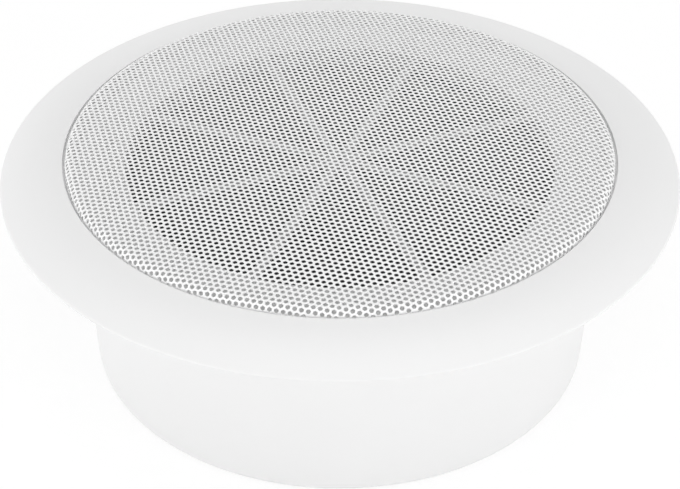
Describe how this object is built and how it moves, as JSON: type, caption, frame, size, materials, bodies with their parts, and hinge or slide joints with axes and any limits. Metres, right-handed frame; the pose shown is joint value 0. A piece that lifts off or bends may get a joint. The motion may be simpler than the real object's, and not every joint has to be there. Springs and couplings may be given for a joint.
{
  "type": "in-ceiling speaker",
  "caption": "Round in-ceiling loudspeaker with a wide sloped flange, a domed perforated grille over a spoked opening, a cone driver and a closed tapered rear can.",
  "frame": {"origin": "centre of the rear can's flat base, on which the speaker stands with its grille up", "axes": "+Z from the can's base out through the grille, +Y towards the cable entry in the can's wall"},
  "size_m": [0.212, 0.212, 0.0763],
  "materials": {
    "white_plastic": "satin moulded ABS",
    "grille_paint": "satin powder coat",
    "foam": "closed-cell foam",
    "steel_screw": "zinc plated",
    "basket_paint": "black paint",
    "black_rubber": "matt",
    "cone_paper": "pressed paper pulp",
    "spider_cloth": "resin-treated cotton",
    "former_foil": "plain foil",
    "copper": "enamelled wire",
    "plated_steel": "zinc plated",
    "ferrite": "ground ceramic magnet",
    "board": "phenolic board",
    "tinned_brass": "tinned",
    "red_pvc": "insulated wire",
    "black_pvc": "insulated wire",
    "block_plastic": "moulded"
  },
  "bodies": {
    "housing": {"front_frame": "white_plastic", "grille": "grille_paint", "rear_can": "white_plastic", "can_seal": "foam", "can_screws": "steel_screw", "driver_gasket": "foam", "driver_screws": "steel_screw", "basket": "basket_paint", "surround": "black_rubber", "spider": "spider_cloth", "top_plate": "plated_steel", "magnet": "ferrite", "yoke": "plated_steel", "terminal_board": "board", "board_rivet": "tinned_brass", "solder_tags": "tinned_brass", "tinsel_leads": "copper", "lead_red": "red_pvc", "lead_black": "black_pvc", "terminal_block": "block_plastic", "clamp_screws": "tinned_brass", "block_screw": "steel_screw", "cable_grommet": "black_rubber"},
    "diaphragm": {"cone": "cone_paper", "dust_cap": "cone_paper", "coil_former": "former_foil", "voice_coil": "copper"}
  },
  "joints": [
    {"name": "cone_travel", "type": "slide", "parent": "housing", "child": "diaphragm", "axis": [0, 0, 1], "range_m": [-0.003, 0.003], "stiffness_N_per_m": 1600, "deforming": ["surround", "spider", "tinsel_leads"]}
  ]
}
